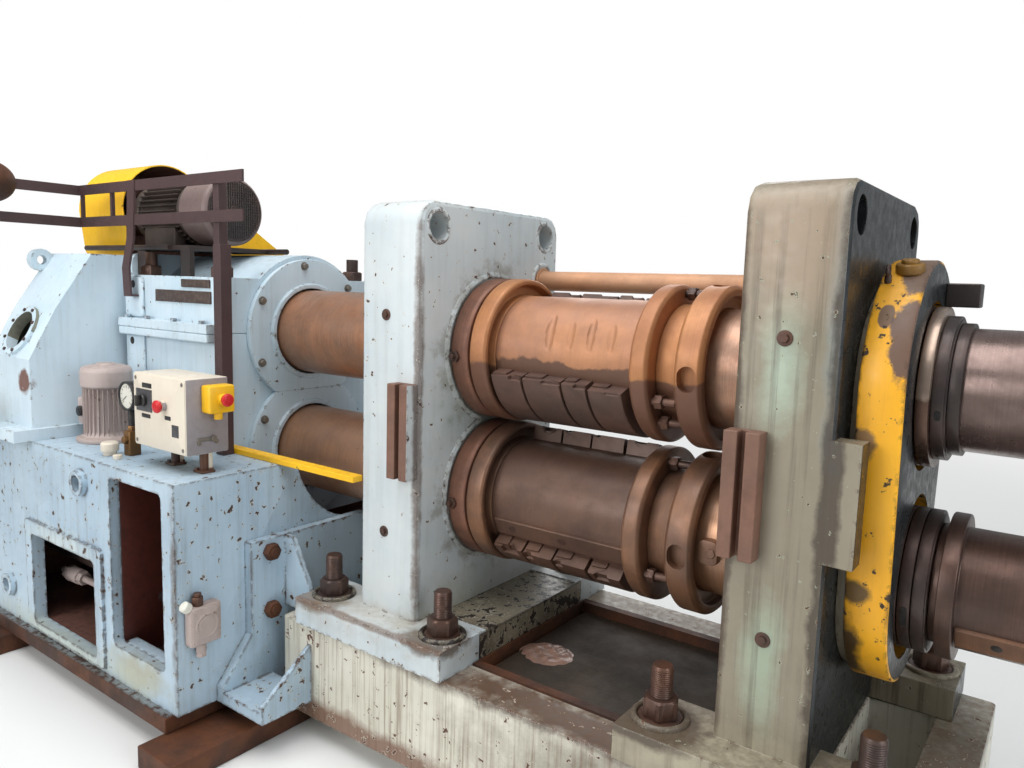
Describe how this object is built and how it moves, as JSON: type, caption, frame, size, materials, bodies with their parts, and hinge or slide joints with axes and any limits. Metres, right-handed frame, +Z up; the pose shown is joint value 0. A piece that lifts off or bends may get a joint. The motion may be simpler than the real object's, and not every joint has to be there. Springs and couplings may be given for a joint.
{
  "type": "roll forging machine",
  "caption": "Roll forging machine: twin driven shafts with stepped die rolls between two stands, with a gearbox and belt drive on an oil cabinet.",
  "frame": {"origin": "centre of the underside of the middle sleeper, on the floor, below the plane of the two shafts", "axes": "+X along the shafts from the drive end to the outboard rolls, -Y towards the operator's side with the controls, +Z up"},
  "size_m": [3.2854, 1.44, 1.5969],
  "materials": {
    "blue_paint": "chipped enamel",
    "green_paint": "worn enamel, oily",
    "yellow_paint": "worn enamel",
    "roll_steel": "heat-browned steel",
    "turned_steel": "turned and polished",
    "dark_steel": "oily dark steel",
    "brown_primer": "red-brown primer",
    "motor_grey": "dusty enamel",
    "cream_paint": "powder coat",
    "pale_paint": "dusty enamel",
    "red_plastic": "moulded",
    "black_plastic": "moulded",
    "rusty_steel": "rusty scale"
  },
  "bodies": {
    "machine": {"apron_plate": "rusty_steel", "base_frame": "green_paint", "belt_guard": "yellow_paint", "cabinet": "blue_paint", "cabinet_plinth": "brown_primer", "control_box": "cream_paint", "drive_sleeper": "rusty_steel", "end_plate": "yellow_paint", "estop_box": "yellow_paint", "filler_cap": "cream_paint", "front_bar": "yellow_paint", "front_link_bracket": "blue_paint", "gear_housing": "blue_paint", "gearbox_lower": "blue_paint", "gearbox_upper": "blue_paint", "inner_guide": "roll_steel", "inner_stand": "blue_paint", "junction_box": "pale_paint", "lower_bearing_ring": "roll_steel", "lower_gearbox_cover": "blue_paint", "middle_sleeper": "rusty_steel", "motor_body": "motor_grey", "motor_fan_cowl": "motor_grey", "motor_pulley": "dark_steel", "oil_line": "dark_steel", "outer_guide": "roll_steel", "outer_stand": "green_paint", "pressure_gauge": "black_plastic", "pump_motor": "pale_paint", "rail_frame": "brown_primer", "rail_post": "brown_primer", "rear_link_bracket": "blue_paint", "roll_sleeper": "rusty_steel", "scale_tray": "rusty_steel", "slide_plate": "dark_steel", "stop_bar": "dark_steel", "tie_rod": "roll_steel", "upper_bearing_ring": "roll_steel", "upper_gearbox_cover": "blue_paint", "work_lamp": "turned_steel"},
    "upper_roll": {"upper_shaft": "turned_steel", "upper_roll_flange": "roll_steel", "upper_dies": "roll_steel", "upper_clamp_ring": "roll_steel", "upper_ring_nut": "roll_steel", "upper_outboard_collar": "dark_steel", "upper_outboard_roll": "turned_steel", "upper_end_nut": "dark_steel"},
    "lower_roll": {"lower_shaft": "turned_steel", "lower_roll_flange": "roll_steel", "lower_dies": "roll_steel", "lower_clamp_ring": "roll_steel", "lower_ring_nut": "roll_steel", "lower_outboard_collar": "dark_steel", "lower_outboard_roll": "turned_steel", "lower_end_nut": "dark_steel"},
    "selector": {"selector_knob": "black_plastic"},
    "stop": {"stop_button": "red_plastic"},
    "estop": {"estop_button": "red_plastic"}
  },
  "joints": [
    {"name": "upper_roll_spin", "type": "hinge", "parent": "machine", "child": "upper_roll", "pos_m": [0, 0, 1.055], "axis": [1, 0, 0], "continuous": true},
    {"name": "lower_roll_spin", "type": "hinge", "parent": "machine", "child": "lower_roll", "pos_m": [0, 0, 0.685], "axis": [1, 0, 0], "continuous": true},
    {"name": "selector_turn", "type": "hinge", "parent": "machine", "child": "selector", "pos_m": [-0.28625, -0.5603, 0.88872], "axis": [0, -1, 0], "range_deg": [-45, 45]},
    {"name": "stop_push", "type": "slide", "parent": "machine", "child": "stop", "axis": [0, 1, 0], "range_m": [0, 0.004], "stiffness_N_per_m": 800},
    {"name": "estop_push", "type": "slide", "parent": "machine", "child": "estop", "axis": [-1, 0, 0], "range_m": [0, 0.004], "stiffness_N_per_m": 800}
  ],
  "couplings": [
    {"joint": "lower_roll_spin", "follows": "upper_roll_spin", "ratio": -1}
  ]
}
